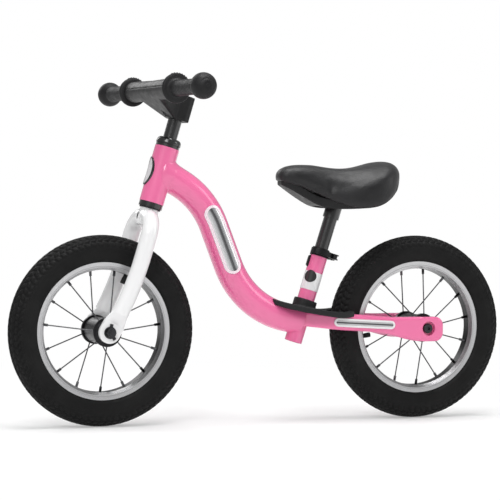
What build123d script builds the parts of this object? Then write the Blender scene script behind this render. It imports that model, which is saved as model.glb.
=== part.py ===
"""Balance bike with 12 inch air tyres, a bent main tube, a footrest and a quick-release seat post.

Millimetres.  +X forward, +Y to the rider's left, +Z up.  The origin is on the ground, midway
between the axles.  The front wheel is straight ahead at rest.
"""
from build123d import *
import math
import os

# ---------------------------------------------------------------- driving dimensions
wheelbase = 540.0           # axle to axle
tyre_radius = 150.0         # 12 x 1.95 tyre, 300 mm over the tread
tyre_half_width = 24.0      # half the tyre's section
steer_lean = 16.2           # steering axis, degrees back from vertical
steer_x = 189.6             # foot of the head tube
steer_z = 350.5
seat_lean = 17.5            # seat tube, degrees back from vertical
seat_x = -54.6              # foot of the seat tube, below the frame
seat_z = 128.0
bar_half_width = 228.0      # centre to the middle of a ball end

# clearances
shaft_gap = 0.05            # radial, a shaft in its bore
press_gap = 0.02            # radial, a pressed or glued seat
weld_gap = 0.05             # between parts that are welded together
moving_gap = 0.4            # between parts that move past each other
slip_gap = 0.1              # radial, a clamped tube in its sleeve

# main tube
main_radius = 23.2
main_wall = 1.8
main_start = (166.3, 395.6)     # x and z of the centre line inside the head tube
main_start_slope = 30.8         # degrees below level, going back
main_first_run = 30.0
main_first_bend = 133.8
main_mid_slope = 68.0
main_mid_run = 69.1
main_second_bend = 138.9
main_end_slope = 8.1
main_last_run = 22.0

# head tube and headset
head_radius = 19.6
head_length = 90.5
head_bore = 17.0
cup_radius = 18.9
lower_cup_height = 8.0
upper_cup_height = 4.6
cup_insert_depth = 9.0
cup_floor = 1.2
dome_height = 10.2
dome_skirt = 2.0
dome_radius = 19.8
dome_top_radius = 13.6
ball_pitch_radius = 15.4
ball_radius = 1.7
ball_count = 18
race_thickness = 1.6            # flange of the crown race

# fork
steerer_radius = 12.7
steerer_wall = 1.5
crown_wall = 2.2                # boss around the steerer's foot
crown_drop = 24.0               # blade centre line below the head tube's foot
crown_bend = 30.0
blade_radius = 13.0
blade_wall = 1.8
blade_spacing = 44.0            # blade centre line to the middle of the bike
blade_forward = 3.5             # blade centre line ahead of the steering axis
blade_curve_start = 85.0        # below the head tube's foot
flat_length = 31.0              # flattened end, from the axle up
flat_taper = 16.0
lobe_radius = 17.2
lobe_thickness = 6.0

# wheels and hubs
rim_radius = 107.8
rim_half_width = 15.2
rim_depth = 12.0
rim_wall = 1.9
bead_seat_radius = 101.6
rim_well_half_width = 8.5
casing_wall = 3.0
tread_wall = 5.0
bead_radius = 2.4
tube_wall = 1.2
tube_room = 1.2                 # between the inner tube and the casing
spoke_count = 15
spoke_radius = 1.0
spoke_seat_depth = 3.0          # how far a spoke goes into its flange
nipple_radius = 2.1
nipple_head_radius = 3.0
nipple_length = 12.0
valve_radius = 4.0
valve_length = 26.0
front_spoke_angle = 65.5        # between the first and last spoke, above level, 0 pointing back
rear_spoke_angle = 21.0
front_valve_step = 0            # valve's place from there, in spoke pitches
rear_valve_step = -7
flange_radius = 23.2
flange_thickness = 6.0
flange_offset = 31.0            # flange middle to wheel middle
hub_barrel_radius = 20.5
hub_half_length = 36.0
bearing_radius = 11.0
bearing_width = 7.0
bearing_race = 2.4
axle_radius = 4.0
hub_half_gap = 40.0             # inside of the fork ends and of the rear dropouts
spacer_radius = 7.0
nut_radius = 7.5
nut_height = 8.0
washer_thickness = 1.6
washer_radius = 9.6
washer_tab_length = 4.0
washer_tab_width = 5.0
washer_tab_angles = (100, 235)  # degrees up from straight ahead

# chainstays: x, y, z of the centre, height and thickness of the section
stay_sections = [
    (-60.0, 12.5, 166.0, 23.0, 13.0),
    (-88.0, 25.0, 163.8, 24.5, 14.0),
    (-118.0, 38.6, 161.7, 26.0, 14.0),
    (-150.0, 43.0, 160.2, 27.0, 14.0),
    (-185.0, 45.0, 157.2, 27.5, 14.0),
    (-215.0, 46.8, 153.2, 32.0, 15.5),
    (-240.0, 48.2, 150.2, 38.0, 16.6),
    (-258.0, 48.5, 149.2, 40.0, 17.0),
]
stay_corner = 5.5
stay_wall = 2.0
stay_solid_length = 42.0        # solid rear end, ahead of the axle
dropout_length = 50.0
dropout_height = 40.0
dropout_thickness = 17.0
dropout_corner = 14.0
dropout_edge = 3.0
dropout_back = 26.4             # rear end behind the axle
recess_radius = 11.5
recess_depth = 6.6
axle_head_radius = 8.0
axle_head_height = 5.4
socket_radius = 3.0

# seat tube, shim and clamp, all measured along the seat tube from its foot
seat_tube_radius = 14.3
seat_tube_bore = 12.8
seat_tube_top = 156.0
clamp_foot = 144.0
clamp_height = 13.0
neck_radius = 13.5              # turned-down top where the clamp sits
shim_wall = 1.5
shim_length = 46.0
shim_rim_height = 1.8
slot_width = 4.2
slot_foot = 123.0
key_reach = 17.6                # front of the shim's key, from the tube's axis
clamp_wall = 2.0
ear_length = 12.0
ear_half_gap = 1.5
ear_thickness = 4.5
skewer_radius = 2.4
skewer_back = 21.5              # skewer behind the tube's axis
cam_radius = 5.5
cam_side = 14.0                 # cam pin to the middle of the bike
lever_height = 8.5
lever_inner_radius = 18.2
lever_thickness = 3.6
lever_start_angle = 38.0
lever_end_angle = 146.0
pin_radius = 1.6
eye_radius = 3.6                # eye of the skewer, round the pin
eye_height = 4.4
clamp_nut_radius = 5.4
band_foot = 87.0
band_height = 30.0
band_thickness = 0.4
roundel_height = 108.8
roundel_radius = 10.0
roundel_angle = 49.0            # from straight ahead towards the left

# seat post and saddle
post_radius = 11.1
post_wall = 1.6
post_foot = 60.0
post_top = 231.0
bracket_length = 66.0
bracket_width = 34.0
bracket_thickness = 3.0
bracket_socket_height = 14.0
bracket_socket_wall = 2.2
bracket_z = 350.0
saddle_bolt_radius = 2.5
saddle_bolt_reach = 6.0         # into the saddle's base
saddle_bolt_spread_x = 22.0
saddle_bolt_spread_y = 11.0
# saddle sections: x, half width, top z, bottom z
pad_sections = [
    (-20.0, 14.0, 404.0, 386.5),
    (-30.0, 22.0, 411.5, 382.0),
    (-52.0, 28.0, 415.6, 372.0),
    (-82.0, 33.0, 411.4, 358.5),
    (-115.0, 45.0, 406.0, 345.5),
    (-148.0, 58.0, 405.2, 340.2),
    (-178.0, 62.5, 413.2, 342.6),
    (-203.0, 58.0, 423.0, 355.0),
    (-221.5, 43.0, 420.5, 373.0),
    (-233.0, 22.0, 409.0, 389.5),
]
pad_corner = 0.42               # corner radius as a share of the shorter side, soft foam
base_inset = 7.0                # saddle base inside the cushion's edge
base_depth = 15.0
base_front_half_width = 9.0
base_back_half_width = 18.0
# underside of the saddle base: x and z
base_underside = [
    (-27.0, 381.0), (-53.0, 366.5), (-72.0, 355.5), (-88.0, 348.0), (-104.0, 344.4),
    (-150.0, 344.4), (-181.0, 349.0), (-204.0, 362.0), (-219.0, 378.0),
]

# footrest: x, half width, underside z
foot_sections = [
    (-12.0, 19.0, 190.0),
    (-26.0, 30.0, 185.4),
    (-52.0, 45.0, 179.2),
    (-90.0, 56.0, 172.0),
    (-126.0, 54.0, 168.6),
    (-141.0, 49.0, 170.4),
]
foot_thickness = 9.0
foot_notch_front = -104.0       # front of the notch for the tyre
foot_notch_half_width = 30.0
foot_notch_corner = 8.0
foot_collar_radius = 19.0
foot_collar_top = 71.0          # along the seat tube from its foot
foot_screw_places = ((-96.0, 29.0), (-130.0, 40.5))
foot_screw_radius = 2.2
foot_screw_head_radius = 4.2
foot_screw_head_height = 2.4
foot_screw_length = 15.0

# stem and handlebar, measured along the steering axis from the head tube's foot
bar_height = 170.3
bar_forward = 47.4
bar_radius = 11.1
bar_wall = 1.6
quill_radius = 11.1
quill_wall = 1.6
quill_foot = 34.0
quill_top = 170.0
sleeve_foot = 136.5
sleeve_top = 177.0
sleeve_radius = 17.8
barrel_radius = 15.4
barrel_end_radius = 16.6
barrel_half_length = 100.5
barrel_seam = 0.25
web_half_width = 52.0
set_screw_height = 141.5
set_screw_radius = 2.0
set_screw_head_radius = 3.2
set_screw_seat = 19.4           # head's seat, ahead of the steering axis
set_screw_head_height = 2.0
expander_bolt_radius = 3.0
expander_head_radius = 11.6     # its flange spans the quill's mouth
expander_head_height = 3.0
wedge_height = 22.0
grip_radius = 12.9
grip_waist_radius = 12.1
grip_flange_radius = 24.0
grip_flange_thickness = 9.0
grip_flange_centre = 106.0
ball_end_radius = 20.0

# trim
inlay_thickness = 1.4
bezel_thickness = 1.9
inlay_gap = 0.1
tube_bezel_half_width = 14.0
tube_inlay_half_width = 9.8
tube_inlay_start = 0.272        # share of the main tube's path, from the head tube
tube_inlay_end = 0.521
stay_bezel_half_height = 6.8
stay_inlay_half_height = 3.8
stay_trim_front = (-108.0, 161.6)
stay_trim_back = (-210.0, 156.2)
badge_half_width = 13.0
badge_half_height = 23.0
badge_border = 2.4
badge_middle = 47.0             # above the head tube's foot
badge_depth = 1.6

# ---------------------------------------------------------------- places worked out from the sizes
rear_axle_x = -wheelbase / 2
section_radius = tyre_radius - tyre_half_width
tube_radius = tyre_half_width - tread_wall - tube_room
front_axle_x = wheelbase / 2
lean = math.radians(steer_lean)
steer = Plane(
    origin=(steer_x, 0, steer_z),
    x_dir=(math.cos(lean), 0, math.sin(lean)),
    z_dir=(-math.sin(lean), 0, math.cos(lean)),
)
seat_angle = math.radians(seat_lean)
seat = Plane(
    origin=(seat_x, 0, seat_z),
    x_dir=(math.cos(seat_angle), 0, math.sin(seat_angle)),
    z_dir=(-math.sin(seat_angle), 0, math.cos(seat_angle)),
)
front_axle_local = steer.to_local_coords(Vector(front_axle_x, 0, tyre_radius))
fork_rake = front_axle_local.X
steerer_bore = steerer_radius - steerer_wall
race_foot = -lower_cup_height - moving_gap - race_thickness
crown_radius = steerer_radius + crown_wall
dropout_outer_y = hub_half_gap + dropout_thickness
rear_seat_y = dropout_outer_y - recess_depth
post_head_x = seat_x - (bracket_z - seat_z) * math.tan(seat_angle)  # where the post meets its bracket
skewer_height = clamp_foot + clamp_height / 2
clamp_ring_outer = neck_radius + slip_gap + clamp_wall
sides = (("left", 1), ("right", -1))


def rod(radius, low, high, x=0.0, y=0.0):
    """Upright cylinder between two heights."""
    return Pos(x, y, (low + high) / 2) * Cylinder(radius, high - low)


def pipe(radius, bore, low, high, x=0.0, y=0.0):
    """Upright tube between two heights."""
    return rod(radius, low, high, x, y) - rod(bore, low - 1, high + 1, x, y)


def cross_rod(radius, low, high, x=0.0, z=0.0):
    """Cylinder along Y between two places."""
    return Pos(x, (low + high) / 2, z) * Rot(90, 0, 0) * Cylinder(radius, high - low)


def cross_pipe(radius, bore, low, high, x=0.0, z=0.0):
    """Tube along Y between two places."""
    return cross_rod(radius, low, high, x, z) - cross_rod(bore, low - 1, high + 1, x, z)


def turned(points, axis=Axis.Z):
    """Solid of revolution from half-section points (radius, height)."""
    outline = make_face(Polyline(*[(r, 0, h) for r, h in points], close=True))
    return revolve(outline, axis, 360)


def mirrored(shape, side):
    """The shape itself on the left, its mirror image on the right."""
    return shape if side > 0 else mirror(shape, about=Plane.XZ)


def save(name, *solids):
    """Write one node."""
    shape = solids[0] if len(solids) == 1 else Compound(children=list(solids))
    export_step(shape, os.path.join("parts", name + ".step"))


# ---------------------------------------------------------------- frame
def main_path():
    """Centre line of the main tube: run, bend down, run, bend back, run."""
    def heading(slope):
        angle = math.radians(slope)
        return Vector(-math.cos(angle), 0, -math.sin(angle))

    point = Vector(main_start[0], 0, main_start[1])
    runs = []
    first = Line(point, point + heading(main_start_slope) * main_first_run)
    runs.append(first)
    bend_down = main_bend(first @ 1, main_start_slope, main_mid_slope, main_first_bend, 1)
    runs.append(bend_down)
    middle = Line(bend_down @ 1, bend_down @ 1 + heading(main_mid_slope) * main_mid_run)
    runs.append(middle)
    bend_back = main_bend(middle @ 1, main_mid_slope, main_end_slope, main_second_bend, -1)
    runs.append(bend_back)
    runs.append(Line(bend_back @ 1, bend_back @ 1 + heading(main_end_slope) * main_last_run))
    return Wire(runs)


def main_bend(start, slope_in, slope_out, radius, turn):
    """Arc in the XZ plane from one slope to another; turn is 1 downwards, -1 back to level."""
    def point(slope):
        angle = math.radians(slope)
        first = math.radians(slope_in)
        dx = -turn * radius * (math.sin(angle) - math.sin(first))
        dz = turn * radius * (math.cos(angle) - math.cos(first))
        return start + Vector(dx, 0, dz)

    return ThreePointArc(start, point((slope_in + slope_out) / 2), point(slope_out))


def main_solid(radius):
    """Round bar along the main tube's centre line."""
    path = main_path()
    return sweep(Plane(origin=path @ 0, z_dir=path % 0) * Circle(radius), path=path)


def head_tube():
    """Head tube with its bore."""
    return steer * pipe(head_radius, head_bore, 0, head_length)


def main_tube():
    """Bent main tube, coped to the head tube and to the seat tube."""
    tube = main_solid(main_radius) - main_solid(main_radius - main_wall)
    tube -= steer * rod(head_radius + weld_gap, -60, head_length + 60)
    tube -= steer * Pos(60, 0, 60) * Box(120, 120, 300)
    tube -= seat * rod(seat_tube_radius + weld_gap, -80, 120)
    tube -= seat * Pos(-60, 0, 60) * Box(120, 120, 300)
    return max(tube.solids(), key=lambda solid: solid.volume)


def seat_tube():
    """Seat tube with a turned-down top and a slot for the shim's key."""
    tube = pipe(seat_tube_radius, seat_tube_bore, 0, clamp_foot)
    tube += pipe(neck_radius, seat_tube_bore, clamp_foot, seat_tube_top)
    slot = Pos(seat_tube_radius, 0, (slot_foot + seat_tube_top) / 2 + 5)
    tube -= slot * Box(2 * seat_tube_radius, slot_width, seat_tube_top - slot_foot + 10)
    return seat * tube


def stay_loft(side, grow=0.0):
    """Lofted bar of one chainstay."""
    faces = []
    for x, y, z, height, thickness in stay_sections:
        section = RectangleRounded(thickness + 2 * grow, height + 2 * grow, stay_corner + grow)
        faces.append(Plane(origin=(x, side * y, z), x_dir=(0, 1, 0), z_dir=(-1, 0, 0)) * section)
    return loft(faces)


def dropout_middle():
    """Middle of a dropout's thickness, from the middle of the bike."""
    return hub_half_gap + dropout_thickness / 2


def dropout_block(side):
    """Flared rear end of a chainstay."""
    middle_x = rear_axle_x - dropout_back + dropout_length / 2
    origin = (middle_x, side * dropout_middle(), tyre_radius - 1.0)
    face = Plane(origin=origin, x_dir=(1, 0, 0), z_dir=(0, 1, 0)) * RectangleRounded(
        dropout_length, dropout_height, dropout_corner)
    block = extrude(face, dropout_thickness / 2, both=True)
    rims = block.edges().filter_by(lambda edge: abs(abs(edge.center().Y) - dropout_middle()) > 1)
    return fillet(rims, dropout_edge)


def chainstay(side):
    """Hollow chainstay with a solid, recessed dropout, cut to the seat tube."""
    stay = stay_loft(side) + dropout_block(side)
    hollow_back = rear_axle_x + stay_solid_length
    hollow = stay_loft(side, -stay_wall) & Pos(hollow_back + 150, 0, 150) * Box(300, 400, 200)
    stay -= hollow
    recess = sorted((side * rear_seat_y, side * (dropout_outer_y + 5)))
    hole = sorted((side * (hub_half_gap - 5), side * (dropout_outer_y + 5)))
    stay -= cross_rod(recess_radius, *recess, x=rear_axle_x, z=tyre_radius)
    stay -= cross_rod(axle_radius + shaft_gap, *hole, x=rear_axle_x, z=tyre_radius)
    stay -= seat * rod(seat_tube_radius + weld_gap, -20, 120)
    stay -= seat * Pos(60 - weld_gap, 0, 0) * Box(120, 300, 400)
    stay &= Pos(-200, side * 60, 150) * Box(300, 119.8, 200)
    return max(stay.solids(), key=lambda solid: solid.volume)


# ---------------------------------------------------------------- trim
def path_band(half_width):
    """Flat band with round ends that follows the main tube's centre line, in the XZ plane."""
    path = main_path()
    steps = 24
    shares = [tube_inlay_start + (tube_inlay_end - tube_inlay_start) * i / steps for i in range(steps + 1)]
    spots = [path @ share for share in shares]
    ways = [path % share for share in shares]
    upper = []
    lower = []
    for spot, way in zip(spots, ways):
        normal = Vector(-way.Z, 0, way.X) * half_width
        upper.append(spot + normal)
        lower.append(spot - normal)
    cap_end = spots[-1] + ways[-1] * half_width
    cap_start = spots[0] - ways[0] * half_width
    edges = [
        Spline(*upper),
        ThreePointArc(upper[-1], cap_end, lower[-1]),
        Spline(*reversed(lower)),
        ThreePointArc(lower[0], cap_start, upper[0]),
    ]
    return make_face(Wire(edges))


def tube_trim(side, half_width, thickness):
    """Plate that lies on the main tube's flank."""
    band = path_band(half_width)
    plate = extrude(band, 40.0, dir=(0, side, 0))
    skin = main_solid(main_radius + inlay_gap + thickness) - main_solid(main_radius + inlay_gap)
    return plate & skin


def tube_inlay(side):
    """Reflective strip inside the main tube's bezel."""
    trimmed = tube_trim(side, tube_inlay_half_width - inlay_gap, inlay_thickness)
    return max(trimmed.solids(), key=lambda solid: solid.volume)


def tube_bezel(side):
    """Raised frame around the reflective strip."""
    frame = tube_trim(side, tube_bezel_half_width, bezel_thickness)
    window = extrude(path_band(tube_inlay_half_width), 60.0, dir=(0, side, 0))
    return max((frame - window).solids(), key=lambda solid: solid.volume)


def stay_trim_face(half_height):
    """Slim stadium along the chainstay's flank, in the XZ plane."""
    front = Vector(stay_trim_front[0], 0, stay_trim_front[1])
    back = Vector(stay_trim_back[0], 0, stay_trim_back[1])
    way = (back - front).normalized()
    length = (back - front).length
    plane = Plane(origin=(front + back) * 0.5, x_dir=way, z_dir=(0, -1, 0))
    return plane * SlotOverall(length - 2 * (stay_bezel_half_height - half_height), 2 * half_height)


def stay_trim(side, half_height, thickness):
    """Plate that lies on the chainstay's flank."""
    plate = extrude(stay_trim_face(half_height), 80.0, dir=(0, side, 0))
    skin = stay_loft(side, inlay_gap + thickness) - stay_loft(side, inlay_gap)
    outside = Pos(-150, side * 69, 150) * Box(300, 60, 300)
    plate = plate & skin & outside
    return max(plate.solids(), key=lambda solid: abs(solid.center().Y))


def stay_inlay(side):
    """Reflective strip on the chainstay."""
    return stay_trim(side, stay_inlay_half_height - inlay_gap, inlay_thickness)


def stay_bezel(side):
    """Raised frame around the chainstay's strip."""
    frame = stay_trim(side, stay_bezel_half_height, bezel_thickness)
    window = extrude(stay_trim_face(stay_inlay_half_height), 90.0, dir=(0, side, 0))
    return max((frame - window).solids(), key=lambda solid: solid.volume)


def badge_disc(half_width, half_height, low, high):
    """Oval plate that wraps the front of the head tube."""
    plane = Plane(origin=(0, 0, badge_middle), x_dir=(0, 1, 0), z_dir=(1, 0, 0))
    column = extrude(plane * Ellipse(half_width, half_height), 40.0)
    skin = pipe(head_radius + high, head_radius + low, 0, head_length)
    return steer * (column & skin)


def head_badge_rim():
    """Black border of the head badge."""
    outer = badge_disc(badge_half_width, badge_half_height, inlay_gap, badge_depth)
    inner = badge_disc(badge_half_width - badge_border, badge_half_height - badge_border, 0, badge_depth + 1)
    return outer - inner


def head_badge_face():
    """Plain domed face of the head badge."""
    shrink = badge_border + inlay_gap
    return badge_disc(badge_half_width - shrink, badge_half_height - shrink, inlay_gap, badge_depth - 0.4)


def seat_band():
    """White band around the seat tube."""
    inner = seat_tube_radius + inlay_gap / 2
    return seat * pipe(inner + band_thickness, inner, band_foot, band_foot + band_height)


def seat_roundel():
    """Plain black disc on the white band."""
    inner = seat_tube_radius + band_thickness + inlay_gap
    plane = Plane(origin=(0, 0, roundel_height), x_dir=(0, 1, 0), z_dir=(1, 0, 0))
    column = extrude(plane * Circle(roundel_radius), 30.0)
    skin = pipe(inner + band_thickness, inner, 60, 140)
    return seat * Rot(0, 0, roundel_angle) * (column & skin)


# ---------------------------------------------------------------- footrest
def foot_outline():
    """Plan of the footrest, with a notch for the tyre at the back."""
    left = [Vector(x, half_width, 0) for x, half_width, _ in foot_sections]
    right = [Vector(x, -half_width, 0) for x, half_width, _ in foot_sections]
    outline = make_face(Wire([
        Line(right[0], left[0]), Spline(*left), Line(left[-1], right[-1]), Spline(*reversed(right)),
    ]))
    notch_length = foot_notch_front - foot_sections[-1][0] + foot_notch_corner
    notch = RectangleRounded(2 * notch_length, 2 * foot_notch_half_width, foot_notch_corner)
    return outline - Pos(foot_notch_front - notch_length, 0) * notch


def foot_profile():
    """Side view of the footrest's pad."""
    under = [Vector(x, 0, z) for x, _, z in foot_sections]
    over = [point + Vector(0, 0, foot_thickness) for point in under]
    edges = [
        Spline(*under),
        Line(under[-1], over[-1]),
        Spline(*reversed(over)),
        Line(over[0], under[0]),
    ]
    return make_face(Wire(edges))


def foot_surface(x):
    """Height of the footrest's top at x, between the two nearest sections."""
    pairs = zip(foot_sections, foot_sections[1:])
    for (x0, _, z0), (x1, _, z1) in pairs:
        if x1 <= x <= x0:
            return z0 + (z1 - z0) * (x - x0) / (x1 - x0) + foot_thickness
    return foot_sections[-1][2] + foot_thickness


def footrest():
    """Footrest that wraps the seat tube and lies on the chainstays."""
    pad = extrude(foot_outline(), 300.0) & extrude(foot_profile(), 80.0, both=True)
    pad += seat * rod(foot_collar_radius, 40, foot_collar_top)
    pad -= seat * rod(seat_tube_radius + slip_gap, 0, 120)
    pad -= main_solid(main_radius + slip_gap)
    for _, side in sides:
        pad -= stay_loft(side, slip_gap)
        for x, y in foot_screw_places:
            top = foot_surface(x)
            pad -= rod(foot_screw_radius + shaft_gap, top - 40, top + 5, x, side * y)
            pad -= rod(foot_screw_head_radius + shaft_gap, top - foot_screw_head_height, top + 9, x, side * y)
    return max(pad.solids(), key=lambda solid: solid.volume)


def foot_screw(x, y):
    """Pan-head screw that holds the footrest to a chainstay."""
    seat_height = foot_surface(x) - foot_screw_head_height
    screw = rod(foot_screw_radius, seat_height - foot_screw_length, seat_height + 0.5, x, y)
    screw += rod(foot_screw_head_radius, seat_height + shaft_gap, seat_height + foot_screw_head_height, x, y)
    return screw - rod(1.2, seat_height + 1, seat_height + 5, x, y)


def foot_screw_holes(stay, side):
    """Pilot holes in a chainstay for the footrest's screws."""
    for x, y in foot_screw_places:
        stay -= rod(foot_screw_radius + shaft_gap, 100, 220, x, side * y)
    return stay


# ---------------------------------------------------------------- headset
def headset_cup(lower):
    """Cup pressed into one end of the head tube, seen with its mouth upwards."""
    height = lower_cup_height if lower else upper_cup_height
    hole = steerer_radius + 1.0
    raceway = ball_pitch_radius + ball_radius + 0.1
    insert_radius = head_bore - press_gap
    outline = [
        (hole, -cup_insert_depth), (insert_radius, -cup_insert_depth), (insert_radius, 0.02),
        (cup_radius, 0.02), (cup_radius, height), (raceway, height), (raceway, cup_floor),
        (hole, cup_floor),
    ]
    return turned(outline)


def ball_ring(height):
    """Caged ring of bearing balls."""
    ring = Pos(0, 0, height) * Torus(ball_pitch_radius, ball_radius * 0.35)
    for i in range(ball_count):
        turn = Rot(0, 0, 360 * i / ball_count)
        ring += turn * Pos(ball_pitch_radius, 0, height) * Sphere(ball_radius)
    return ring


def headset_dome():
    """Threaded top cone with its domed cover, seen from the head tube's top."""
    low = upper_cup_height + moving_gap
    race = ball_pitch_radius - ball_radius - 0.1
    skirt_top = low + dome_skirt
    bore = steerer_radius + shaft_gap
    points = [
        (bore, cup_floor + moving_gap), (race, cup_floor + moving_gap), (race, low), (dome_radius, low),
        (dome_radius, skirt_top),
    ]
    steps = 6
    for i in range(1, steps + 1):
        turn = math.radians(90 * i / steps)
        radius = dome_top_radius + (dome_radius - dome_top_radius) * math.cos(turn) ** 0.8
        points.append((radius, skirt_top + (dome_height - dome_skirt) * math.sin(turn)))
    points.append((bore, low + dome_height))
    return turned(points)


def crown_race():
    """Race pressed on the steerer under the lower balls."""
    outer = ball_pitch_radius - ball_radius - 0.1
    bore = steerer_radius + press_gap
    flange = ball_pitch_radius + 1.5
    top = -cup_floor - moving_gap
    points = [
        (bore, race_foot), (flange, race_foot), (flange, race_foot + race_thickness),
        (outer, race_foot + race_thickness), (outer, top), (bore, top),
    ]
    return steer * turned(points)


# ---------------------------------------------------------------- fork
def fork_steerer():
    """Steerer tube with the crown boss that the blades are welded to."""
    top = head_length + upper_cup_height + dome_height
    foot = -crown_drop - blade_radius
    tube = rod(steerer_radius, foot - 1, top)
    tube += rod(crown_radius, foot, race_foot - weld_gap)
    tube -= rod(steerer_bore, foot - 5, top + 1)
    return steer * tube


def blade_path(side):
    """Centre line of a fork blade, in the steering frame: out of the crown, down, then forward."""
    start = Vector(blade_forward, side * (steerer_radius - 4), -crown_drop)
    shoulder = Vector(blade_forward, side * (blade_spacing - crown_bend), -crown_drop)
    corner_share = math.sqrt(0.5)
    middle = shoulder + Vector(0, side * crown_bend * corner_share, -crown_bend * (1 - corner_share))
    below = shoulder + Vector(0, side * crown_bend, -crown_bend)
    bend_start = Vector(blade_forward, side * blade_spacing, -blade_curve_start)
    drop = bend_start.Z - front_axle_local.Z
    forward = fork_rake - blade_forward
    radius = (drop ** 2 + forward ** 2) / (2 * forward)
    turn = math.asin((drop - flat_length) / radius)

    def curve_point(angle):
        dx = radius * (1 - math.cos(angle))
        return bend_start + Vector(dx, 0, -radius * math.sin(angle))

    runs = [
        Line(start, shoulder),
        ThreePointArc(shoulder, middle, below),
        Line(below, bend_start),
        ThreePointArc(bend_start, curve_point(turn / 2), curve_point(turn)),
    ]
    return Wire(runs)


def fork_blade(side):
    """Bent blade with a flattened, rounded end for the axle."""
    path = blade_path(side)
    start_plane = Plane(origin=path @ 0, z_dir=path % 0)
    blade = sweep(start_plane * Circle(blade_radius), path=path)
    hollow = sweep(start_plane * Circle(blade_radius - blade_wall), path=path)
    end = path @ 1
    way = path % 1
    axle = Vector(fork_rake, side * (hub_half_gap + lobe_thickness / 2), front_axle_local.Z)
    down = Vector(axle.X - end.X, 0, axle.Z - end.Z).normalized()
    round_plane = Plane(origin=end, x_dir=(0, 1, 0), z_dir=way)
    flat_origin = Vector(end.X, axle.Y, end.Z) + down * flat_taper
    flat_plane = Plane(origin=flat_origin, x_dir=(0, 1, 0), z_dir=down)
    round_end = round_plane * Circle(blade_radius)
    flat_end = flat_plane * Ellipse(lobe_thickness / 2, lobe_radius)
    blade += loft([round_end, flat_end])
    lobe_plane = Plane(origin=axle, x_dir=down, z_dir=(0, 1, 0))
    neck = (axle - flat_origin).length
    lobe = Circle(lobe_radius) + Pos(-neck / 2, 0) * Rectangle(neck, 2 * lobe_radius)
    blade += extrude(lobe_plane * lobe, lobe_thickness / 2, both=True)
    hole = sorted((side * (hub_half_gap - 5), side * (hub_half_gap + 15)))
    blade -= cross_rod(axle_radius + shaft_gap, *hole, x=axle.X, z=axle.Z)
    blade -= hollow
    blade -= rod(crown_radius + weld_gap, -crown_drop - 40, 0)
    blade = max(blade.solids(), key=lambda solid: solid.volume)
    return steer * blade


# ---------------------------------------------------------------- wheels
def on_axle(shape, axle_x, turn=0.0):
    """Moves a wheel part, built round the Z axis, on to its axle."""
    return Pos(axle_x, 0, tyre_radius) * Rot(90, 0, 0) * Rot(0, 0, turn) * shape


def rim_outline():
    """Half section of the rim: (radius, offset from the wheel's middle)."""
    inner = rim_radius - rim_depth
    outer_side = [
        (rim_radius, rim_half_width), (bead_seat_radius - 1.5, rim_half_width - 0.6),
        (inner, rim_well_half_width),
    ]
    inner_side = [
        (inner + rim_wall, rim_well_half_width - 0.8), (bead_seat_radius, rim_half_width - rim_wall - 0.8),
        (rim_radius, rim_half_width - rim_wall),
    ]
    lower = [(r, -y) for r, y in reversed(outer_side)]
    lower_inner = [(r, -y) for r, y in reversed(inner_side)]
    return outer_side + lower + lower_inner + inner_side


def spoke_ends(index):
    """Flange end and rim end of one spoke, on alternate flanges."""
    angle = 2 * math.pi * (index + 0.5) / spoke_count
    side = -1 if index % 2 == 0 else 1
    inner = flange_radius - spoke_seat_depth
    outer = rim_radius - rim_depth - 1.0
    low = Vector(inner * math.cos(angle), inner * math.sin(angle), side * flange_offset)
    high = Vector(outer * math.cos(angle), outer * math.sin(angle), 0)
    return low, high


def along(start, end, radius, low, high):
    """Cylinder along the line from start to end, between two distances from start."""
    way = (end - start).normalized()
    return Plane(origin=start, z_dir=way) * rod(radius, low, high)


def rim(axle_x, turn, valve_turn):
    """Aluminium rim with spoke holes and a valve hole."""
    ring = turned(rim_outline())
    for i in range(spoke_count):
        low, high = spoke_ends(i)
        length = (high - low).length
        ring -= along(low, high, nipple_radius + shaft_gap, length - 8, length + 12)
    valve_way = Rot(0, 0, valve_turn) * Rot(0, 90, 0)
    ring -= valve_way * rod(valve_radius + slip_gap, rim_radius - 30, rim_radius + 10)
    return on_axle(ring, axle_x, turn)


def spokes(axle_x, turn):
    """Straight spokes, one solid each."""
    solids = []
    for i in range(spoke_count):
        low, high = spoke_ends(i)
        length = (high - low).length
        solids.append(on_axle(along(low, high, spoke_radius, shaft_gap, length), axle_x, turn))
    return solids


def nipples(axle_x, turn):
    """Spoke nipples with heads inside the rim."""
    solids = []
    for i in range(spoke_count):
        low, high = spoke_ends(i)
        length = (high - low).length
        tilt = math.asin(abs(high.Z - low.Z) / length)
        head = length + (rim_wall + 1.1 + nipple_head_radius * math.sin(tilt)) / math.cos(tilt)
        nipple = along(low, high, nipple_radius, head - nipple_length, head + 0.1)
        nipple += along(low, high, nipple_head_radius, head, head + 1.8)
        nipple -= along(low, high, spoke_radius + shaft_gap, head - nipple_length - 1, length + shaft_gap)
        solids.append(on_axle(nipple, axle_x, turn))
    return solids


def tyre(axle_x):
    """Hollow casing with two beads that sit in the rim."""
    centre = section_radius
    casing = Torus(centre, tyre_half_width)
    hollow = Torus(centre - (tread_wall - casing_wall) / 2, tyre_half_width - (tread_wall + casing_wall) / 2)
    casing -= hollow
    bead_y = rim_half_width - rim_wall - bead_radius - 0.5
    casing -= pipe(bead_seat_radius + 8, 40, -bead_y, bead_y)
    casing -= turned(channel_outline(0.3))
    for _, side in sides:
        casing += Pos(0, 0, side * bead_y) * Torus(bead_seat_radius + bead_radius + 0.4, bead_radius)
    casing -= turned(channel_outline(0.3))
    return on_axle(max(casing.solids(), key=lambda solid: solid.volume), axle_x)


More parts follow.
